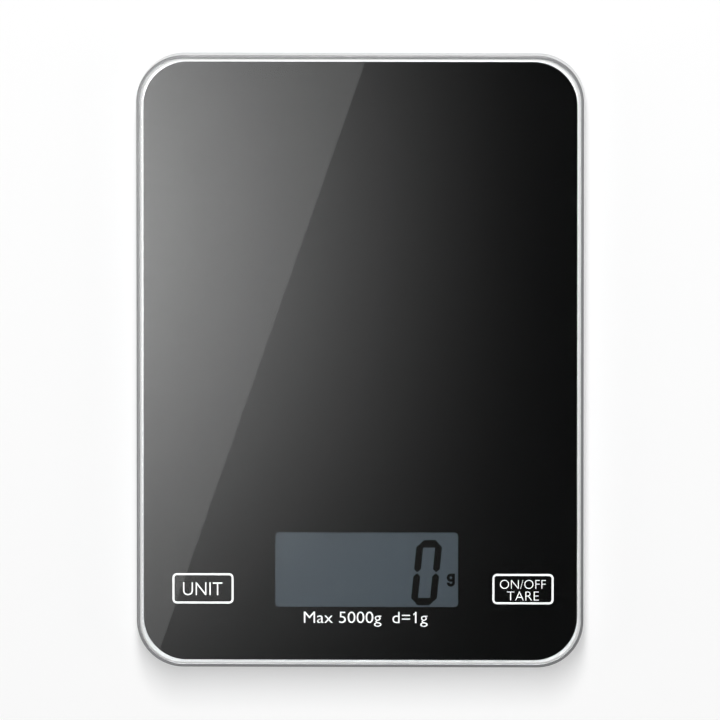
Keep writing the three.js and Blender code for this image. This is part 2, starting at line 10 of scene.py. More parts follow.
import bpy
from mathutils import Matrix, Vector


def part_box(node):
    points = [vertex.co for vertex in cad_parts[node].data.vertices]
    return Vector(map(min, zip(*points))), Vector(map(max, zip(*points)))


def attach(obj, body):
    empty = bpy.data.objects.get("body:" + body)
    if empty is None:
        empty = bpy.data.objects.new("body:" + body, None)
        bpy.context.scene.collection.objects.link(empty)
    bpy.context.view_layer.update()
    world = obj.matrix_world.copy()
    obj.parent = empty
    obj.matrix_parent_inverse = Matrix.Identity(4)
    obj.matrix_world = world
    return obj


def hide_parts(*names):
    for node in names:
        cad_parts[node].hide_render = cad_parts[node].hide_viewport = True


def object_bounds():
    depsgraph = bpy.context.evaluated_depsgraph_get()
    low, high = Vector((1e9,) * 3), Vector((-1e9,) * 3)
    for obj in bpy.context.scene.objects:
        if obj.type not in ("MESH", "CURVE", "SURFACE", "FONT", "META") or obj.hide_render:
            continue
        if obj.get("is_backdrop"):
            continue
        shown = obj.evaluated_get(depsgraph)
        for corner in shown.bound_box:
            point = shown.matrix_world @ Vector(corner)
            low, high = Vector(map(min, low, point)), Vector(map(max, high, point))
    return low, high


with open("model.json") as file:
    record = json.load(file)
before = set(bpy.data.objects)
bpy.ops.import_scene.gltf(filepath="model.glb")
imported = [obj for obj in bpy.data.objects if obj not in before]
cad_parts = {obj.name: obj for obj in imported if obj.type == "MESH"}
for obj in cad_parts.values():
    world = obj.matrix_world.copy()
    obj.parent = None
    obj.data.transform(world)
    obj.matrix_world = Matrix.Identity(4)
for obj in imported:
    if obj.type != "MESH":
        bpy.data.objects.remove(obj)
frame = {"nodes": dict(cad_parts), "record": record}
CAD_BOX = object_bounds()
MM = 0.001
LEFT_RIGHT = (-1, 1)
CORNERS = ("front_left", "front_right", "back_left", "back_right")

# %% [markdown]
# ## Camera
# The scale is seen from almost straight above, as in a catalogue. A very long lens from far away keeps its
# sides parallel. The camera leans a little to the far side and to the right, so a sliver of those two sides
# shows. It is turned by given angles and not aimed, because an aimed camera that looks down turns upside
# down.

# %% Camera
LENS = 800
SENSOR = 36
FIELD = 234.0 * MM  # how much of the table the picture spans
LEAN_BACK = math.radians(4.5)
LEAN_RIGHT = math.radians(1.5)
AIM_BACK = 0.65 * MM  # the picture's middle lies this far behind the scale's
glass_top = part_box("glass_platform")[1][2]
distance = FIELD * LENS / SENSOR
bpy.ops.object.camera_add(
    location=(
        distance * math.cos(LEAN_BACK) * math.sin(LEAN_RIGHT),
        AIM_BACK + distance * math.sin(LEAN_BACK),
        glass_top + distance * math.cos(LEAN_BACK) * math.cos(LEAN_RIGHT),
    ),
    rotation=(-LEAN_BACK, LEAN_RIGHT, 0),
)
camera = bpy.context.object
camera.name = "catalogue_camera"
camera.data.lens = LENS
camera.data.sensor_width = SENSOR
camera.data.clip_start = 0.1
camera.data.clip_end = 60
bpy.context.scene.camera = camera
bpy.context.scene.view_settings.view_transform = "Standard"
print(f"camera {distance:.2f} m away")

# %% [markdown]
# ## Finishes: the helpers
# A finish is one Principled shader with numbers that change over the surface. To write shader maths like
# sums, a small class wraps a socket and adds a Math node for each operator. Every other node comes from one
# method.

# %% Finish helpers
class Number:
    """A number that changes over a surface. A sum written with it adds Math nodes."""

    def __init__(self, finish, socket):
        self.finish = finish
        self.socket = socket

    def __add__(self, other):
        return self.finish.maths("ADD", self, other)

    def __sub__(self, other):
        return self.finish.maths("SUBTRACT", self, other)

    def __rsub__(self, other):
        return self.finish.maths("SUBTRACT", other, self)

    def __mul__(self, other):
        return self.finish.maths("MULTIPLY", self, other)

    def __pow__(self, other):
        return self.finish.maths("POWER", self, other)

    def __lt__(self, other):
        return self.finish.maths("LESS_THAN", self, other)

    def __gt__(self, other):
        return self.finish.maths("GREATER_THAN", self, other)

    __radd__ = __add__
    __rmul__ = __mul__


class Finish:
    """A material under construction: its node tree, its shader and its coordinates."""

    def __init__(self, name, **constants):
        self.material = bpy.data.materials.new(name)
        self.material.use_nodes = True
        self.tree = self.material.node_tree
        self.shader = self.tree.nodes["Principled BSDF"]
        self.place = self.node("ShaderNodeTexCoord", {}, {}, "Object").socket
        for socket, value in constants.items():
            self.feed(self.shader, socket.replace("_", " "), value)

    def feed(self, node, key, value):
        socket = node.inputs[key]
        if isinstance(value, Number):
            value = value.socket
        if isinstance(value, bpy.types.NodeSocket):
            self.tree.links.new(value, socket)
        elif isinstance(value, tuple) and len(value) == 3 and socket.type == "RGBA":
            socket.default_value = (*value, 1)
        else:
            socket.default_value = value

    def node(self, kind, settings, inputs, output=0):
        made = self.tree.nodes.new(kind)
        for name, value in settings.items():
            setattr(made, name, value)
        for key, value in inputs.items():
            self.feed(made, key, value)
        return Number(self, made.outputs[output])

    def maths(self, operation, first, second):
        return self.node("ShaderNodeMath", {"operation": operation}, {0: first, 1: second})

    def noise(self, size, detail=3):
        """Soft noise between 0 and 1. Its size is in millimetres."""
        inputs = {"Vector": self.place, "Scale": 1 / (size * MM), "Detail": detail}
        return self.node("ShaderNodeTexNoise", {}, inputs, "Fac")

    def blend(self, share, first, second):
        """The first colour where the share is 0 and the second where it is 1."""
        inputs = {0: share, 6: first, 7: second}
        return self.node("ShaderNodeMix", {"data_type": "RGBA"}, inputs, 2).socket

    def bump(self, height, depth):
        """Lets a height between 0 and 1 tilt the surface, by a depth in millimetres."""
        inputs = {"Height": height, "Distance": depth * MM, "Strength": 1}
        self.feed(self.shader, "Normal", self.node("ShaderNodeBump", {}, inputs, "Normal"))


def darker(colour, share):
    return tuple(channel * share for channel in colour)


# %% [markdown]
# ## Finishes: plastics, rubber and metal
# Moulded plastic is never one flat colour: the mould's spark-eroded grain shows as a fine bump, and flow in
# the mould shifts its gloss a little over centimetres. Rubber is rougher and picks up dust. Plated steel is a
# metal whose roughness wanders. Silver paint has fine flakes under a thin clear coat.

# %% Plastic, rubber, metal and paint
def moulded(name, colour, roughness, grain=0.35, depth=0.004):
    finish = Finish(name, Specular_IOR_Level=0.45)
    flow = finish.noise(22)
    finish.feed(finish.shader, "Base Color", finish.blend(flow, darker(colour, 0.94), colour))
    finish.feed(finish.shader, "Roughness", roughness - 0.05 + 0.1 * flow)
    finish.bump(finish.noise(grain, 2), depth)
    return finish.material


def rubber(name, colour):
    finish = Finish(name, Specular_IOR_Level=0.3)
    dust = finish.noise(3.5, 5)
    dusty = tuple(channel + 0.02 for channel in colour)
    finish.feed(finish.shader, "Base Color", finish.blend(dust, colour, dusty))
    finish.feed(finish.shader, "Roughness", 0.72 + 0.2 * dust)
    finish.bump(finish.noise(0.25, 2), 0.01)
    return finish.material


def metal(name, colour, roughness, grain=0.6):
    finish = Finish(name, Metallic=1.0)
    wander = finish.noise(6)
    finish.feed(finish.shader, "Base Color", finish.blend(wander, darker(colour, 0.9), colour))
    finish.feed(finish.shader, "Roughness", roughness - 0.06 + 0.12 * wander)
    finish.bump(finish.noise(grain, 4), 0.001)
    return finish.material


def silver_paint(name, colour, metallic, roughness):
    """Paint with flakes. With little metal in it, it mirrors little and stays a plain grey."""
    finish = Finish(name, Coat_Weight=0.1, Coat_Roughness=0.08)
    flake = finish.noise(0.12, 1)
    flow = finish.noise(30)
    finish.feed(finish.shader, "Base Color", finish.blend(flake, darker(colour, 0.88), colour))
    finish.feed(finish.shader, "Metallic", metallic + 0.08 * flake)
    finish.feed(finish.shader, "Roughness", roughness + 0.06 * flow)
    finish.bump(flake, 0.0006)
    return finish.material


FINISHES = {
    "silver_bezel": silver_paint("satin silver paint", (0.66, 0.67, 0.68), 0.72, 0.26),
    "light_housing": moulded("light grey moulded shell", (0.55, 0.56, 0.575), 0.42),
    "dark_foot": moulded("dark moulded foot", (0.035, 0.036, 0.038), 0.5),
    "white_plastic": moulded("white moulded plastic", (0.74, 0.74, 0.71), 0.45),
    "rubber_pad": rubber("soft black rubber", (0.018, 0.018, 0.019)),
    "foam_tape": rubber("black foam tape", (0.03, 0.03, 0.031)),
    "zebra_rubber": rubber("striped contact rubber", (0.09, 0.09, 0.1)),
    "gauge_silicone": rubber("clear silicone cover", (0.6, 0.6, 0.56)),
    "plated_steel": metal("nickel-plated steel", (0.68, 0.67, 0.65), 0.26),
    "copper_foil": metal("copper foil", (0.8, 0.42, 0.26), 0.3),
    "chip_epoxy": moulded("chip epoxy", (0.012, 0.012, 0.013), 0.28, 1.5, 0.02),
    "grey_wire": moulded("grey wire cover", (0.3, 0.31, 0.32), 0.4),
    "black_wire": moulded("black wire cover", (0.015, 0.015, 0.016), 0.4),
    "red_wire": moulded("red wire cover", (0.5, 0.02, 0.015), 0.4),
}
print(f"{len(FINISHES)} plain finishes")

# %% [markdown]
# ## Finishes: glass, print and display
# Float glass is almost perfectly smooth; only faint wipe marks change its gloss. The plate casts no shadow,
# so the lamps reach the print and the display under it. The black print is a dense ink with pinholes of
# slightly lighter black. The display is a blue-grey liquid-crystal cell whose polariser has a very fine
# grain.

# %% Glass, print and display
def float_glass():
    finish = Finish("polished float glass", Transmission_Weight=1.0, IOR=1.5)
    wiped = finish.noise(40, 4)
    finish.feed(finish.shader, "Base Color", (0.98, 0.99, 0.988))
    finish.feed(finish.shader, "Roughness", 0.003 * wiped)
    return finish.material


# Near-white edge: the ground edge's frosting plus a painted reflection of the bright surroundings.
def edge_with_painted_reflection():
    finish = Finish("glass edge with painted reflection", Transmission_Weight=0.03, IOR=1.5)
    grind = finish.noise(0.5, 4)
    frosting_and_painted_reflection = finish.blend(grind, (0.84, 0.85, 0.85), (0.89, 0.895, 0.895))
    finish.feed(finish.shader, "Base Color", frosting_and_painted_reflection)
    finish.feed(finish.shader, "Roughness", 0.16 + 0.1 * grind)
    return finish.material


def ink(name, colour, roughness=0.35):
    finish = Finish(name, Specular_IOR_Level=0.0)
    pinholes = finish.noise(0.4, 4)
    finish.feed(finish.shader, "Base Color", finish.blend(pinholes, darker(colour, 0.85), colour))
    finish.feed(finish.shader, "Roughness", roughness + 0.1 * pinholes)
    return finish.material


def display_cell(name, colour):
    finish = Finish(name, Specular_IOR_Level=0.05)
    grain = finish.noise(0.15, 2)
    shade = finish.noise(45, 2)
    tint = finish.blend(shade, darker(colour, 0.93), colour)
    finish.feed(finish.shader, "Base Color", finish.blend(0.25 * grain, tint, darker(colour, 0.7)))
    finish.feed(finish.shader, "Roughness", 0.3 + 0.1 * grain)
    return finish.material


def circuit_board():
    finish = Finish("green solder mask", Specular_IOR_Level=0.5)
    fibre = finish.noise(0.8, 2)
    cells = {"Vector": finish.place, "Scale": 1 / (3.2 * MM)}
    tracks = finish.node("ShaderNodeTexVoronoi", {"distance": "CHEBYCHEV"}, cells, "Distance")
    copper = (tracks > 0.44) * (tracks < 0.52)
    green = finish.blend(fibre, (0.012, 0.1, 0.035), (0.016, 0.13, 0.045))
    finish.feed(finish.shader, "Base Color", finish.blend(copper, green, (0.05, 0.24, 0.09)))
    finish.feed(finish.shader, "Roughness", 0.32 + 0.1 * fibre)
    return finish.material


FINISHES["clear_glass"] = float_glass()
FINISHES["black_print"] = ink("black glass print", (0.0025, 0.0026, 0.0026))
BLUE_GREY = (0.0322, 0.0417, 0.05)
FINISHES["lcd_glass"] = display_cell("display glass", BLUE_GREY)
FINISHES["lcd_film"] = display_cell("display polariser", BLUE_GREY)
FINISHES["circuit_board"] = circuit_board()
# The frame lip's darker, flatter copy of the silver paint: painted shade for the dark sky the lip mirrors.
LIP_PAINTED_SHADE = silver_paint("silver paint with painted shade", (0.21, 0.214, 0.218), 0.02, 0.18)
EDGE_PAINTED_REFLECTION = edge_with_painted_reflection()
WHITE_INK = ink("white glass print", (0.78, 0.79, 0.79))
SEGMENT_BLACK = ink("dark liquid-crystal segment", (0.0012, 0.0012, 0.0012))

SLOT_OF = {row["node"]: row["material_slot"] for row in frame["record"]["subparts"]}
for name, node in frame["nodes"].items():
    finish = FINISHES[SLOT_OF[name]]
    for held in node.material_slots:
        held.material = finish
print(f"{len(SLOT_OF)} nodes have their finish")

# %% [markdown]
# ## Modelling helpers
# Each piece starts as a block or a turned disc of the right size and is then shaped as by hand. The helpers
# below do the dull parts: deselect everything, pick faces or edges by place and normal, set a piece down with
# its place in its mesh, and cut one piece with others.

# %% Picking and setting down
TINY = 0.02 * MM


def deselect():
    if bpy.context.object and bpy.context.object.mode != "OBJECT":
        bpy.ops.object.mode_set(mode="OBJECT")
    bpy.ops.object.select_all(action="DESELECT")


def work_on(piece):
    deselect()
    piece.select_set(True)
    bpy.context.view_layer.objects.active = piece


def pick(piece, kind, test):
    """Opens a piece in edit mode with only the faces or edges that pass a test selected."""
    work_on(piece)
    bpy.ops.object.mode_set(mode="EDIT")
    bpy.ops.mesh.select_mode(type=kind)
    bpy.ops.mesh.select_all(action="DESELECT")
    bpy.ops.object.mode_set(mode="OBJECT")
    mesh = piece.data
    if kind == "FACE":
        for face in mesh.polygons:
            face.select = test(face.center, face.normal)
    else:
        for edge in mesh.edges:
            a, b = (mesh.vertices[i].co for i in edge.vertices)
            edge.select = test(a, b)
    bpy.ops.object.mode_set(mode="EDIT")


def at(height):
    """A test for edges that lie at a height in millimetres."""
    return lambda a, b: abs(a.z - height * MM) < TINY and abs(b.z - height * MM) < TINY


def facing(way, height):
    """A test for level faces at a height in millimetres that look up (1) or down (-1)."""
    return lambda centre, normal: normal.z * way > 0.999 and abs(centre.z - height * MM) < TINY


def set_down(piece, name):
    """Puts the place and size of a new primitive into its mesh, and names it."""
    work_on(piece)
    bpy.ops.object.transform_apply(location=True, rotation=True, scale=True)
    piece.name = name
    piece.data.name = name
    return piece


# %% [markdown]
# ## Blocks and turned pieces
# A block's four upright edges are bevelled to round its corners. A tray or frame is then grown from such a
# block: its top or bottom face is inset and moved again and again, which keeps every wall an even thickness
# round the corners, where scaling wouldn't. Round pieces grow in a similar way from a cone, by extrude and
# resize.

# %% Blocks and turned pieces
WIDE_STEPS = 28  # faces round each corner of the outline
FINE_STEPS = 8  # faces round a small corner
FOOT_SIDES = 72
HOLE_SIDES = 32
POST_SIDES = 24


def block(name, x, y, width, length, bottom, top, corner=0.0, steps=FINE_STEPS):
    deselect()
    bpy.ops.mesh.primitive_cube_add(
        size=1,
        location=(x * MM, y * MM, (bottom + top) / 2 * MM),
        scale=(width * MM, length * MM, (top - bottom) * MM),
    )
    piece = set_down(bpy.context.object, name)
    if corner:
        pick(piece, "EDGE", lambda a, b: (a - b).xy.length < TINY)
        bpy.ops.mesh.bevel(offset=corner * MM, segments=steps)
        bpy.ops.object.mode_set(mode="OBJECT")
    return piece


def grow(piece, way, height, steps):
    """From the level face at a height, grows walls. Each step is (inset, rise) in millimetres."""
    pick(piece, "FACE", facing(way, height))
    for inset, rise in steps:
        if inset:
            bpy.ops.mesh.inset(thickness=inset * MM, depth=rise * way * MM)
        else:
            bpy.ops.mesh.extrude_region_move(TRANSFORM_OT_translate={"value": (0, 0, rise * MM)})
    bpy.ops.object.mode_set(mode="OBJECT")


def turn_from(piece, way, x, y, path):
    """From the level end face of a round piece, grows a turned shape through (radius, height) points."""
    pick(piece, "FACE", facing(way, path[0][1]))
    for (radius, height), (next_radius, next_height) in zip(path, path[1:]):
        rise = (next_height - height) * MM
        bpy.ops.mesh.extrude_region_move(TRANSFORM_OT_translate={"value": (0, 0, rise)})
        share = next_radius / radius
        centre = (x * MM, y * MM, next_height * MM)
        bpy.ops.transform.resize(value=(share, share, 1), center_override=centre)
    bpy.ops.object.mode_set(mode="OBJECT")


def turned(name, x, y, upward, downward=(), sides=64):
    """A round piece. upward starts with the two ends of its first band; downward grows from the lower end."""
    (low_radius, low), (high_radius, high) = upward[:2]
    deselect()
    bpy.ops.mesh.primitive_cone_add(
        vertices=sides,
        radius1=low_radius * MM,
        radius2=high_radius * MM,
        depth=(high - low) * MM,
        location=(x * MM, y * MM, (low + high) / 2 * MM),
    )
    piece = set_down(bpy.context.object, name)
    if len(upward) > 2:
        turn_from(piece, 1, x, y, upward[1:])
    if downward:
        turn_from(piece, -1, x, y, [upward[0], *downward])
    return piece


def disc(x, y, radius, bottom, top, sides=HOLE_SIDES):
    return turned("disc", x, y, [(radius, bottom), (radius, top)], sides=sides)


def bar(left, right, front, back, bottom, top):
    x, y = (left + right) / 2, (front + back) / 2
    return block("bar", x, y, right - left, back - front, bottom, top)


def quarter_round(reach, rise, steps):
    """(inset, rise) steps that turn from upright to level, on a quarter of an ellipse."""
    points = []
    for step in range(steps + 1):
        angle = math.pi / 2 * step / steps
        points.append((reach * (1 - math.cos(angle)), rise * math.sin(angle)))
    return [(b[0] - a[0], b[1] - a[1]) for a, b in zip(points, points[1:])]


# %% [markdown]
# ## Cutting and finishing
# A Boolean modifier cuts or joins pieces, one tool at a time, and is applied before the next. At the end,
# the piece gets smooth shading up to an angle and weighted normals, so big flat faces stay flat in
# reflections. It then rides on its body and stands for its CAD node.

# %% Cutting and finishing
SMOOTH_ANGLE = math.radians(32)


def together(pieces):
    """Makes one object of pieces that don't touch."""
    work_on(pieces[0])
    for piece in pieces:
        piece.select_set(True)
    bpy.ops.object.join()
    return bpy.context.object


def shape_with(piece, operation, others):
    for other in others:
        work_on(piece)
        bpy.ops.object.modifier_add(type="BOOLEAN")
        modifier = piece.modifiers[-1]
        modifier.operation = operation
        modifier.solver = "EXACT"
        modifier.object = other
        bpy.ops.object.modifier_apply(modifier=modifier.name)
        bpy.data.objects.remove(other)
    return piece


def cut(piece, *others):
    return shape_with(piece, "DIFFERENCE", others)


def join(piece, *others):
    return shape_with(piece, "UNION", others)


def done(piece, body, slot, material=None, stands_for=()):
    """Cleans the mesh and shades it, then lets the piece ride and hides the CAD nodes it stands for."""
    work_on(piece)
    bpy.ops.object.mode_set(mode="EDIT")
    bpy.ops.mesh.select_mode(type="FACE")
    bpy.ops.mesh.select_all(action="SELECT")
    bpy.ops.mesh.remove_doubles(threshold=0.001 * MM)
    bpy.ops.mesh.dissolve_degenerate(threshold=0.0005 * MM)
    bpy.ops.mesh.delete_loose(use_verts=True, use_edges=True, use_faces=False)
    bpy.ops.mesh.select_face_by_sides(number=4, type="GREATER", extend=False)
    bpy.ops.mesh.quads_convert_to_tris(quad_method="BEAUTY", ngon_method="BEAUTY")
    bpy.ops.object.mode_set(mode="OBJECT")
    bpy.ops.object.shade_smooth_by_angle(angle=SMOOTH_ANGLE)
    bpy.ops.object.modifier_add(type="WEIGHTED_NORMAL")
    piece.modifiers[-1].keep_sharp = True
    bpy.ops.object.modifier_apply(modifier=piece.modifiers[-1].name)
    if not piece.data.materials:
        piece.data.materials.append(material or FINISHES[slot])
    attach(piece, body)
    if stands_for:
        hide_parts(*stands_for)
    print(f"{piece.name}: {len(piece.data.polygons)} faces")
    return piece


def measure(node):
    """Centre x and y, width, length, bottom and top of a CAD node, in millimetres."""
    low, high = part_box(node)
    x, y = ((a + b) / 2 / MM for a, b in list(zip(low, high))[:2])
    width, length = ((b - a) / MM for a, b in list(zip(low, high))[:2])
    return x, y, width, length, low[2] / MM, high[2] / MM


# %% [markdown]
# ## Glass plate
# Four millimetres of glass, ground to a rounded edge at the top. A block with bevelled corners gets a bevel
# along its upper rim and a small one below. Each flat face is inset once: its own corners then touch only
# level faces, so their normals are exactly upright and the face mirrors without a ripple. The rim's faces get
# a second, near-white material, while the face is clear. That material is the ground edge's own frosting
# together with a painted reflection of the bright surroundings that the edge catches from above.

# %% Glass plate
WAIST_WIDTH, WAIST_LENGTH = measure("bezel_frame")[2:4]
WAIST_CORNER = 15.6
GLASS_INSET = 1.4
BEVEL = 0.8
FLAT_MARGIN = (0.3, 0)  # an inset with no rise


def glass_plate():
    x, y, width, length, bottom, top = measure("glass_platform")
    corner = WAIST_CORNER - GLASS_INSET
    piece = block("glass_plate", x, y, width, length, bottom, top, corner, WIDE_STEPS)
    pick(piece, "EDGE", at(top))
    bpy.ops.mesh.bevel(offset=BEVEL * MM, segments=6)
    pick(piece, "EDGE", at(bottom))
    bpy.ops.mesh.bevel(offset=0.3 * MM, segments=2)
    grow(piece, 1, top, [FLAT_MARGIN])
    grow(piece, -1, bottom, [FLAT_MARGIN])
    piece.data.materials.append(FINISHES["clear_glass"])
    piece.data.materials.append(EDGE_PAINTED_REFLECTION)
    # The rim's faces take the near-white edge, with its painted reflection.
    for face in piece.data.polygons:
        rim = face.center.z > (top - BEVEL) * MM and face.normal.z < 0.995
        face.material_index = int(rim)
    done(piece, "housing", "clear_glass", stands_for=["glass_platform"])
    piece.visible_shadow = False
    return piece


glass_plate()

# %% [markdown]
# ## Printed film
# The print covers the back of the glass except for a clear margin and the display window. It is a thin plate
# with rounded corners, and the window is cut out of it with a smaller rounded block. Its top stops just short
# of the glass, which leaves room for the white print of keys and letters.

# %% Printed film
FILM_CORNER = 14.0
WINDOW = {"x": 2.1, "y": -68, "width": 59.5, "length": 24.4, "corner": 1.2}
INK_BOTTOM = 12.955  # the white ink lies between these two heights
INK_TOP = 12.985


def printed_film():
    x, y, width, length, bottom, _ = measure("printed_film")
    piece = block("glass_print", x, y, width, length, bottom, INK_BOTTOM, FILM_CORNER, WIDE_STEPS)
    across, along = WINDOW["width"], WINDOW["length"]
    hole = block("hole", WINDOW["x"], WINDOW["y"], across, along, bottom - 1, INK_TOP + 1, WINDOW["corner"])
    cut(piece, hole)
    return done(piece, "housing", "black_print", stands_for=["printed_film"])


printed_film()

# %% [markdown]
# ## Key outlines and legends
# White ink is printed before the black, so it lies against the glass. Each key is a rounded outline, made by
# cutting a smaller rounded block from a larger one. The legends say only what the keys do and what the scale
# can weigh. Text becomes a mesh before its place and size go into that mesh.

# %% Key outlines and legends
KEY_Y = -74.25
KEYS = {"unit": -51.2, "tare": 53.0}
KEY_SIZE = (19.9, 9.9)
KEY_LINE = 0.64
KEY_CORNER = 1.5
KEY_HOLE_CORNER = 0.8


def key_outline(key, x):
    width, length = KEY_SIZE
    line = 2 * KEY_LINE
    piece = block(f"key_outline_{key}", x, KEY_Y, width, length, INK_BOTTOM, INK_TOP, KEY_CORNER)
    below, above = INK_BOTTOM - 1, INK_TOP + 1
    cut(piece, block("hole", x, KEY_Y, width - line, length - line, below, above, KEY_HOLE_CORNER))
    return done(piece, "housing", "black_print", WHITE_INK)


def lettering(name, words, x, y, width, height, weight):
    """Letters of white ink centred on a point. A negative weight thins their strokes."""
    deselect()
    bpy.ops.object.text_add()
    text = bpy.context.object
    text.data.body = words
    text.data.align_x = "CENTER"
    text.data.align_y = "CENTER"
    text.data.size = 10
    text.data.offset = weight
    text.data.extrude = 0.5
    text.data.resolution_u = 6
    bpy.ops.object.convert(target="MESH")
    piece = bpy.context.object
    corners = [piece.matrix_world @ vertex.co for vertex in piece.data.vertices]
    low = [min(c[i] for c in corners) for i in range(3)]
    high = [max(c[i] for c in corners) for i in range(3)]
    size = (width, height, INK_TOP - INK_BOTTOM)
    piece.scale = [wanted * MM / (b - a) for wanted, a, b in zip(size, low, high)]
    middle = [(a + b) / 2 for a, b in zip(low, high)]
    target = (x * MM, y * MM, (INK_BOTTOM + INK_TOP) / 2 * MM)
    piece.location = [place - share * m for place, share, m in zip(target, piece.scale, middle)]
    return set_down(piece, name)


# name, words, x, y, width, height and weight
LEGENDS = [
    ("legend_unit", "UNIT", KEYS["unit"] - 0.1, -74.4, 12.8, 4.2, -0.12),
    ("legend_power", "ON/OFF", KEYS["tare"] - 0.05, -72.7, 14.9, 2.9, -0.16),
    ("legend_tare", "TARE", KEYS["tare"] - 0.05, -76.5, 10.4, 2.9, -0.16),
]
CAPTION = ("legend_capacity", "Max 5000g  d=1g", 1.8, -84.2, 40.3, 4.9, -0.07)
ONE = {"x": 18.25, "reach": 0.95, "slope": 0.7, "low": 0.5, "high": 0.06}  # the flag of the figure 1
for key, key_x in KEYS.items():
    key_outline(key, key_x)
for legend in LEGENDS:
    done(lettering(*legend), "housing", "black_print", WHITE_INK)


def caption():
    """The capacity. The built-in figure 1 is a plain stroke, so it gets a small slanting flag."""
    piece = lettering(*CAPTION)
    y, height = CAPTION[3], CAPTION[5]
    top = y + height / 2
    flag = bar(ONE["x"] - ONE["reach"], ONE["x"], top - ONE["low"], top - ONE["high"], INK_BOTTOM, INK_TOP)
    for point in flag.data.vertices:
        point.co.y += ONE["slope"] * (point.co.x - ONE["x"] * MM)
    join(piece, flag)
    return done(piece, "housing", "black_print", WHITE_INK)


caption()

# %% [markdown]
# ## Digits
# A nought on a segment display is six lit bars round an empty middle. Each bar is a thin block whose four
# corners are bevelled until its ends are almost points, with a narrow gap to the next bar. The digit slants a
# little; shear needs a window, so the points are pushed sideways in code. The small g is a ring, a stem and a
# hook.

# %% Digits
DIGIT = {"x": 21.6, "y": -69.0, "width": 8.4, "height": 21.4, "line": 2.5, "side_line": 2.25, "gap": 0.12}
SLANT = 0.1
POINTED = 0.44  # of a bar's width; 0.5 would make sharp points
GRAM = {"x": 29.5, "y": -71.4, "width": 2.7, "height": 4.3, "line": 0.95}
SEGMENT_BOTTOM = 12.6
SEGMENT_TOP = 12.63


def segment(x, y, width, length):
    """A bar of the display, pointed at both ends."""
    piece = block("bar", x, y, width, length, SEGMENT_BOTTOM, SEGMENT_TOP)
    pick(piece, "EDGE", lambda a, b: (a - b).xy.length < TINY)
    bpy.ops.mesh.bevel(offset=POINTED * min(width, length) * MM, segments=1)
    bpy.ops.object.mode_set(mode="OBJECT")
    return piece


def nought():
    line, side_line, gap = DIGIT["line"], DIGIT["side_line"], DIGIT["gap"]
    level = (DIGIT["height"] - line) / 2
    side_x = (DIGIT["width"] - side_line) / 2
    reach = level - gap
    bars = [segment(0, end * level, 2 * (side_x - gap), line) for end in LEFT_RIGHT]
    for side in LEFT_RIGHT:
        for half in LEFT_RIGHT:
            bars.append(segment(side * side_x, half * (reach + 2 * gap) / 2, side_line, reach - 2 * gap))
    piece = together(bars)
    piece.name = "display_nought"
    for point in piece.data.vertices:
        point.co.x += SLANT * point.co.y + DIGIT["x"] * MM
        point.co.y += DIGIT["y"] * MM
    return done(piece, "housing", "lcd_film", SEGMENT_BLACK)


def ring(x, y, radius, line):
    piece = disc(x, y, radius, SEGMENT_BOTTOM, SEGMENT_TOP)
    return cut(piece, disc(x, y, radius - line, SEGMENT_BOTTOM - 1, SEGMENT_TOP + 1))


def gram():
    """A small g for grams: a ring, a stem at its right and half a ring as the hook."""
    x, y, half_height = GRAM["x"], GRAM["y"], GRAM["height"] / 2
    radius, line = GRAM["width"] / 2, GRAM["line"]
    piece = ring(x, y + half_height - radius, radius, line)
    hook_y = y - half_height + radius
    hook = ring(x, hook_y, radius, line)
    cut(hook, bar(x - 3, x + 3, hook_y, hook_y + 3, SEGMENT_BOTTOM - 1, SEGMENT_TOP + 1))
    right, stem_top = x + radius, y + half_height
    stem = bar(right - line, right, hook_y - 0.01, stem_top, SEGMENT_BOTTOM, SEGMENT_TOP)
    join(piece, stem, hook)
    piece.name = "display_gram"
    return done(piece, "housing", "lcd_film", SEGMENT_BLACK)


nought()
gram()

# %% [markdown]
# ## Silver frame
# The frame is one moulding: a thin lip round the glass, a shelf under it, and a tongue that drops into the
# tray. It starts as a thin slice at its widest line. The slice's top face grows up the outside, over the lip
# and down to the shelf; its bottom face grows the tongue and the shelf's underside. The two faces left over
# look at each other, and bridging them opens the middle. Six posts under the shelf take the screws. The
# lip's narrow top gets a darker, flatter copy of the silver paint. This is painted shade for the dark sky the
# lip mirrors, and it draws a grey line round the glass.

# %% Silver frame
SEAM = 8.7
LIP = {"draft": 0.3, "round": 0.3, "flat": 0.6, "top": 16.2}
SHELF = {"top": 12.0, "under": 10.4, "inset": 9.4}
TONGUE = {"shadow_gap": 0.2, "outer": 1.8, "inner": 3.0, "bottom": 7.2}
POST = {"x": 66.4, "ys": (-52, 0, 52), "radius": 2.8, "bottom": 7.0, "top": 10.9, "pilot": 1.3}


def screw_places():
    return [(side * POST["x"], y) for side in LEFT_RIGHT for y in POST["ys"]]


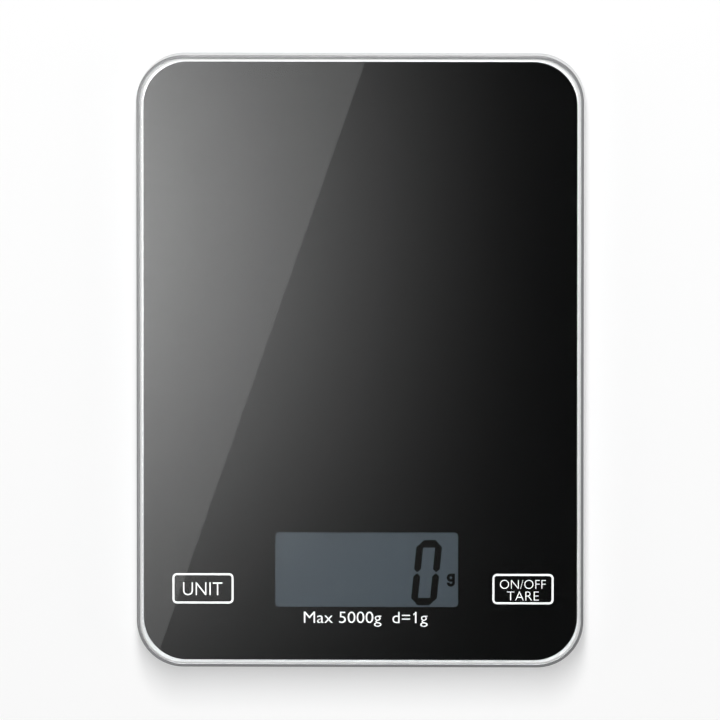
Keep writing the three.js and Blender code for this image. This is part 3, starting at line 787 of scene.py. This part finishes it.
def silver_frame():
    slice_top = SEAM + 0.3
    piece = block("silver_frame", 0, 0, WAIST_WIDTH, WAIST_LENGTH, SEAM, slice_top, WAIST_CORNER, WIDE_STEPS)
    lip_inset = LIP["draft"] + LIP["round"] + LIP["flat"]
    grow(piece, 1, slice_top, [
        (LIP["draft"], LIP["top"] - LIP["round"] - slice_top),
        *quarter_round(LIP["round"], LIP["round"], 6),
        (LIP["flat"], 0),
        (0, SHELF["top"] - LIP["top"]),
        (SHELF["inset"] - lip_inset, 0),
    ])
    grow(piece, -1, SEAM, [
        (TONGUE["shadow_gap"], 0),
        (TONGUE["outer"] - TONGUE["shadow_gap"], 0),
        (0, TONGUE["bottom"] - SEAM),
        (TONGUE["inner"] - TONGUE["outer"], 0),
        (0, SHELF["under"] - TONGUE["bottom"]),
        (SHELF["inset"] - TONGUE["inner"], 0),
    ])
    shelf_top, shelf_under = facing(1, SHELF["top"]), facing(-1, SHELF["under"])
    in_middle = lambda centre: centre.xy.length < 5 * MM
    pick(piece, "FACE", lambda centre, normal: in_middle(centre) and (
        shelf_top(centre, normal) or shelf_under(centre, normal)))
    bpy.ops.mesh.bridge_edge_loops()
    posts = [disc(x, y, POST["radius"], POST["bottom"], POST["top"], POST_SIDES) for x, y in screw_places()]
    join(piece, *posts)
    cut(piece, *[disc(x, y, POST["pilot"], 6, 10, POST_SIDES) for x, y in screw_places()])
    # The lip's rounded top takes the darker copy of the paint, as painted shade.
    piece.data.materials.append(FINISHES["silver_bezel"])
    piece.data.materials.append(LIP_PAINTED_SHADE)
    for face in piece.data.polygons:
        face.material_index = int(face.center.z > (LIP["top"] - 0.9 * LIP["round"]) * MM)
    return done(piece, "housing", "silver_bezel", stands_for=["bezel_frame"])


silver_frame()

# %% [markdown]
# ## Tray
# The tray curves in under the scale. It starts as a slice under the seam: the bottom face grows the outer
# curve, and the top face grows the inside. The battery bay, the ribs and the screw bosses are joined on, and
# the holes for feet, screws and door are cut through. The foot holes are cut with a flared tool, which leaves
# a chamfer that guides the foot.

# %% Tray
TRAY = {"top": 8.4, "under": 2.4, "floor": 4.2, "wall": 1.6}
TRAY_CURVE = {"reach": 3.4, "rise": 4.2, "inner_reach": 2.6, "inner_rise": 3.0}
BAY = {"half": 15.9, "front": 1.5, "back": 40.5, "wall": 1.4, "ceiling": 8.7, "top": 9.8}
DOOR = {"width": 30, "front": 3, "back": 37, "gap": 0.3, "top": 4.0, "corner": 1.2}
DOOR_MIDDLE = (DOOR["front"] + DOOR["back"]) / 2
DOOR_LENGTH = DOOR["back"] - DOOR["front"]
CELL = {"y": 20, "radius": 10.0}
FOOT = {"x": 54, "y": 81, "radius": 9.6}
RIB = {"x": 28, "half": 0.6, "front": -31, "back": 90, "crossings": (55, 78), "top": 5.5}
BOSS = {"screw": 3.8, "board": 2.4, "top": 7}
BOARD_SCREWS = [(x, y) for x in (-30, 34) for y in (-86.3, -49.7)]


def foot_places():
    return [(side * FOOT["x"], end * FOOT["y"]) for end in LEFT_RIGHT for side in LEFT_RIGHT]


def tray_shell():
    shoulder = TRAY["under"] + TRAY_CURVE["rise"]
    corner = WAIST_CORNER
    piece = block("lower_tray", 0, 0, WAIST_WIDTH, WAIST_LENGTH, shoulder, TRAY["top"], corner, WIDE_STEPS)
    outside = quarter_round(TRAY_CURVE["reach"], TRAY_CURVE["rise"], 10)
    grow(piece, -1, shoulder, [(inset, -rise) for inset, rise in outside])
    inside = quarter_round(TRAY_CURVE["inner_reach"], TRAY_CURVE["inner_rise"], 6)
    drop = TRAY["floor"] + TRAY_CURVE["inner_rise"] - TRAY["top"]
    curve = [(inset, -rise) for inset, rise in inside]
    grow(piece, 1, TRAY["top"], [(TRAY["wall"], 0), (0, drop), *curve])
    return piece


def raised_parts():
    """Battery bay, ribs and bosses. Each starts inside the floor, so that it joins cleanly."""
    root = TRAY["floor"] - 0.4
    wall = BAY["half"] + BAY["wall"]
    x, half, top = RIB["x"], RIB["half"], RIB["top"]
    parts = [bar(-wall, wall, BAY["front"] - BAY["wall"], BAY["back"] + BAY["wall"], root, BAY["top"])]
    for side in LEFT_RIGHT:
        parts.append(bar(side * x - half, side * x + half, RIB["front"], RIB["back"], root, top))
    parts += [disc(x, y, BOSS["screw"], root, BOSS["top"]) for x, y in screw_places()]
    parts += [disc(x, y, BOSS["board"], root, BOSS["top"]) for x, y in BOARD_SCREWS]
    parts += [bar(-x, x, y - half, y + half, root, top) for y in RIB["crossings"]]
    return parts


def tray_holes():
    """Tools for the inside of the bay and for the holes of screws and feet."""
    tools = [bar(-BAY["half"], BAY["half"], BAY["front"], BAY["back"], TRAY["floor"] - 0.1, BAY["ceiling"])]
    screw_hole = [(3.1, 2), (3.1, 2.4), (2.8, 2.65), (2.8, 4.3), (1.35, 4.3), (1.35, 8)]
    tools += [turned("hole", x, y, screw_hole, sides=HOLE_SIDES) for x, y in screw_places()]
    tools += [disc(x, y, 1.1, 4.6, 8) for x, y in BOARD_SCREWS]
    wide = FOOT["radius"] + 0.4
    foot_hole = [(wide + 0.5, 2), (wide + 0.5, 2.4), (wide, 2.9), (wide, 5)]
    tools += [turned("hole", x, y, foot_hole, sides=FOOT_SIDES) for x, y in foot_places()]
    return tools


def cell_cradle():
    """A ring round the coin cell, open at the front and back for the two contacts."""
    y, radius = CELL["y"], CELL["radius"]
    ring_wall = disc(0, y, radius + 1.6, 4.6, 9.1, 64)
    return cut(ring_wall, disc(0, y, radius + 0.35, 3, 10, 64), bar(-4, 4, 5, 35, 3, 10))


def door_opening():
    """Tools for the door's opening and its finger notch, and for the slots of the cell's contacts."""
    gap = 2 * DOOR["gap"]
    opening = block("opening", 0, DOOR_MIDDLE, DOOR["width"] + gap, DOOR_LENGTH + gap, 1.5, 4.4,
                    DOOR["corner"] + DOOR["gap"])
    notch = turned("notch", 0, DOOR["front"] - 0.5, [(6.5, 1.4), (6.3, 2.4), (5, 3.4)], sides=48)
    return [opening, notch, *[bar(-2.3, 2.3, y - 0.45, y + 0.45, 7.8, 11) for y in (10.8, 34)]]


def lower_tray():
    piece = tray_shell()
    join(piece, *raised_parts())
    cut(piece, *tray_holes())
    join(piece, cell_cradle())
    cut(piece, *door_opening())
    return done(piece, "housing", "light_housing", stands_for=["lower_housing"])


lower_tray()

# %% [markdown]
# ## Battery door
# A small panel flush with the underside. Two hooks at its back hold it over the floor's edge and make its
# hinge; two slots free the sprung tongue at its front. Grip lines and an arrow show where to push.

# %% Battery door
HOOK = {"x": 8.5, "half": 2, "top": 5.5}
SLOT = {"x": 5.4, "half": 0.4, "length": 7}
GRIP = {"half": 3.2, "first": 1.35, "step": 1.3, "width": 0.5, "depth": 0.35}


def battery_door():
    front, back, top, under = DOOR["front"], DOOR["back"], DOOR["top"], TRAY["under"]
    width, corner = DOOR["width"], DOOR["corner"]
    piece = block("battery_door_panel", 0, DOOR_MIDDLE, width, DOOR_LENGTH, under, top, corner)
    pick(piece, "EDGE", at(under))
    bpy.ops.mesh.bevel(offset=0.25 * MM, segments=3)
    bpy.ops.object.mode_set(mode="OBJECT")
    hooks = [(side * HOOK["x"] - HOOK["half"], side * HOOK["x"] + HOOK["half"]) for side in LEFT_RIGHT]
    join(piece, *[bar(left, right, back - 1.6, back, top - 0.3, HOOK["top"]) for left, right in hooks])
    join(piece, bar(-3.5, 3.5, front - 0.13, front + 0.9, top - 0.3, 4.9))
    join(piece, *[bar(left, right, back - 0.3, back + 2.2, 4.5, HOOK["top"]) for left, right in hooks])
    for side in LEFT_RIGHT:
        x = side * SLOT["x"]
        cut(piece, bar(x - SLOT["half"], x + SLOT["half"], front - 1, front + SLOT["length"], 0, 9))
    for number in range(3):
        y = front + GRIP["first"] + GRIP["step"] * number
        cut(piece, bar(-GRIP["half"], GRIP["half"], y, y + GRIP["width"], 1, under + GRIP["depth"]))
    cut(piece, turned("arrow", 0, front + 9, [(1.8, 1), (1.8, under + 0.3)], sides=3))
    return done(piece, "battery_door", "light_housing", stands_for=["battery_door"])


battery_door()

# %% [markdown]
# ## Feet, pads, screws and coin cell
# All are turned. A foot has a flange that keeps it in the housing and a stem for the load cell. Its rubber
# pad has two grooves so that it grips. Each copy is its own piece, because each foot moves by itself. The
# screws are copies of one pattern.

# %% Feet and pads
def foot(corner, x, y):
    radius = FOOT["radius"]
    piece = turned(
        f"turned_foot_{corner}", x, y,
        [(9.2, 0.9), (radius, 1.3), (radius, 4.5), (11.4, 4.5), (11.4, 5.4), (2.6, 5.4), (2.6, 7.0)],
        [(8.4, 0.9), (8.4, 1.5)],
        FOOT_SIDES,
    )
    return done(piece, f"foot_{corner}", "dark_foot", stands_for=[f"foot_{corner}"])


def pad(corner, x, y):
    piece = turned(
        f"grip_pad_{corner}", x, y,
        [(8.1, 0.5), (8.1, 1.5)],
        [(8.04, 0.27), (7.88, 0.12), (7.65, 0.03), (7.4, 0), (6.2, 0), (6.0, 0.3), (5.2, 0.3), (5.0, 0),
         (3.6, 0), (3.4, 0.3), (2.6, 0.3), (2.4, 0)],
        FOOT_SIDES,
    )
    return done(piece, f"foot_{corner}", "rubber_pad", stands_for=[f"foot_pad_{corner}"])


for corner, (x, y) in zip(CORNERS, foot_places()):
    foot(corner, x, y)
    pad(corner, x, y)

# %% Screws
SCREW_TURN = 37  # degrees from one screw's cross to the next, so that they don't all match


def housing_screw():
    """A pan-head screw, head down, at the middle of the table."""
    piece = turned(
        "screw", 0, 0,
        [(2.5, 3.1), (2.5, 4.2), (1.1, 4.2), (1.1, 9.0), (0.5, 9.6)],
        [(2.4, 2.85), (2.2, 2.7), (1.9, 2.65)],
        HOLE_SIDES,
    )
    return cut(piece, bar(-1.4, 1.4, -0.3, 0.3, 2, 3.3), bar(-0.3, 0.3, -1.4, 1.4, 2, 3.3))


pattern = housing_screw()
for number, (x, y) in enumerate(screw_places(), start=1):
    work_on(pattern)
    bpy.ops.object.duplicate(linked=False)
    copy = bpy.context.object
    bpy.ops.transform.rotate(value=math.radians(SCREW_TURN * number), center_override=(0, 0, 0))
    copy.location = (x * MM, y * MM, 0)
    set_down(copy, f"pan_screw_{number}")
    done(copy, "housing", "plated_steel", stands_for=[f"housing_screw_{number}"])
bpy.data.objects.remove(pattern)

# %% Coin cell
def coin_cell():
    y, radius = CELL["y"], CELL["radius"]
    piece = turned(
        "button_cell", 0, y,
        [(radius, 5.0), (radius, 7.3), (radius - 0.25, 7.45), (radius - 0.7, 7.5), (radius - 1.2, 7.5),
         (radius - 1.5, 7.78), (radius - 1.8, 7.8)],
        [(radius - 0.12, 4.75), (radius - 0.4, 4.6), (8.2, 4.6), (8.0, 4.68), (7.8, 4.6)],
        96,
    )
    return done(piece, "housing", "plated_steel", stands_for=["coin_cell"])


coin_cell()

# %% [markdown]
# ## Studio
# A pale table, soft light from the far side, and a dim sky straight above, so the black glass stays black. A
# soft card high over the scale is what the glass mirrors: bright at the left and fading to the right, with
# one sharp slanting edge. The table lets light from below through to the underside, and can't be seen from
# below.

# %% Table and lamps
def table():
    deselect()
    bpy.ops.mesh.primitive_plane_add(size=30, location=(0, 0, -0.05 * MM))
    piece = set_down(bpy.context.object, "table")
    finish = Finish("pale table", Roughness=0.5, Specular_IOR_Level=0.2, Emission_Strength=0.42)
    finish.feed(finish.shader, "Base Color", (0.6, 0.6, 0.6))
    finish.feed(finish.shader, "Emission Color", (1, 1, 1))
    tree = finish.tree
    clear = finish.node("ShaderNodeBsdfTransparent", {}, {})
    below = finish.node("ShaderNodeNewGeometry", {}, {}, "Backfacing")
    mixed = finish.node("ShaderNodeMixShader", {}, {0: below, 1: finish.shader.outputs[0], 2: clear})
    tree.links.new(mixed.socket, tree.nodes["Material Output"].inputs["Surface"])
    piece.data.materials.append(finish.material)
    piece.visible_shadow = False
    piece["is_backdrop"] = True


def lamp(name, place, width, length, power):
    """A soft lamp that looks at the scale. Its length runs up towards the sky."""
    deselect()
    bpy.ops.object.light_add(type="AREA", location=place)
    light = bpy.context.object
    light.name = name
    light.data.shape = "RECTANGLE"
    light.data.size = width
    light.data.size_y = length
    light.data.energy = power
    away = light.location.normalized()
    light.rotation_mode = "QUATERNION"
    light.rotation_quaternion = away.to_track_quat("Z", "Y")


table()
lamp("key", (0, 0.81, 1.83), 0.3, 1.4, 32)
lamp("fill_left", (-1.7, -0.2, 1.1), 1.2, 1.2, 2.4)
lamp("fill_right", (1.7, -0.2, 1.1), 1.2, 1.2, 2.4)
lamp("fill_front", (0.1, -1.6, 0.9), 1.0, 1.0, 1.0)


# %% Sky
def sky():
    world = bpy.data.worlds.new("studio sky")
    bpy.context.scene.world = world
    world.use_nodes = True
    nodes, links = world.node_tree.nodes, world.node_tree.links
    place = nodes.new("ShaderNodeTexCoord")
    split = nodes.new("ShaderNodeSeparateXYZ")
    ramp = nodes.new("ShaderNodeValToRGB")
    links.new(place.outputs["Generated"], split.inputs[0])
    links.new(split.outputs["Z"], ramp.inputs[0])
    stops = ramp.color_ramp
    stops.elements[0].position, stops.elements[0].color = 0.0, (0.8, 0.8, 0.8, 1)
    stops.elements[1].position, stops.elements[1].color = 0.93, (0.02, 0.02, 0.02, 1)
    middle = stops.elements.new(0.6)
    middle.color = (0.7, 0.7, 0.7, 1)
    links.new(ramp.outputs[0], nodes["Background"].inputs["Color"])
    nodes["Background"].inputs["Strength"].default_value = 0.34


sky()

# %% Reflected card
CARD_HEIGHT = 2.0  # metres over the table
CARD_GAIN = 1.0 / 0.075  # from the tone seen in the glass to the card's own brightness
# What the glass shows, in millimetres on the glass and tones from 0 to 1
FADE = {"right": 68.5, "width": 137, "darkest": 0.028, "gain": 0.44, "power": 1.2}
PEAK = {"y": 52, "reach": 112}
SLANTING_EDGE = {"x": 1.6, "y": 97.1, "slope": 0.349, "step": 0.042}


def reflected_card():
    reach = 1 + CARD_HEIGHT / distance
    middle = (-CARD_HEIGHT * math.tan(LEAN_RIGHT), -CARD_HEIGHT * math.tan(LEAN_BACK))
    deselect()
    bpy.ops.mesh.primitive_plane_add(size=0.7, location=(*middle, CARD_HEIGHT))
    card = bpy.context.object
    card.name = "soft_card"
    finish = Finish("soft card", Specular_IOR_Level=0.0, Emission_Strength=CARD_GAIN)
    finish.feed(finish.shader, "Base Color", (0, 0, 0))
    apart = finish.tree.nodes.new("ShaderNodeSeparateXYZ")
    finish.tree.links.new(finish.place, apart.inputs[0])
    across = Number(finish, apart.outputs["X"]) * (1 / (MM * reach))
    along = Number(finish, apart.outputs["Y"]) * (1 / (MM * reach))
    from_right = finish.maths("MAXIMUM", (FADE["right"] - across) * (1 / FADE["width"]), 0)
    fade = (FADE["darkest"] + FADE["gain"] * from_right**FADE["power"]) ** 2
    from_peak = (along - PEAK["y"]) * (1 / PEAK["reach"])
    fall = finish.maths("POWER", math.e, 0 - from_peak * from_peak)
    edge_x = SLANTING_EDGE["x"] + SLANTING_EDGE["slope"] * (along - SLANTING_EDGE["y"])
    lit_side = (across < edge_x) * SLANTING_EDGE["step"]
    finish.feed(finish.shader, "Emission Color", fade * fall + lit_side)
    card.data.materials.append(finish.material)
    card.visible_camera = False
    card.visible_diffuse = False
    card.visible_shadow = False
    card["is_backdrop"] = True


reflected_card()

# %% [markdown]
# ## Finish
# The two boxes say whether the visible model kept to the size of the frame.

# %% Sizes and finish
LOOKS_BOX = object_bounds()
for label, box in (("cad", CAD_BOX), ("looks", LOOKS_BOX)):
    print(label, "box in mm:", [[round(value / MM, 2) for value in corner] for corner in box])
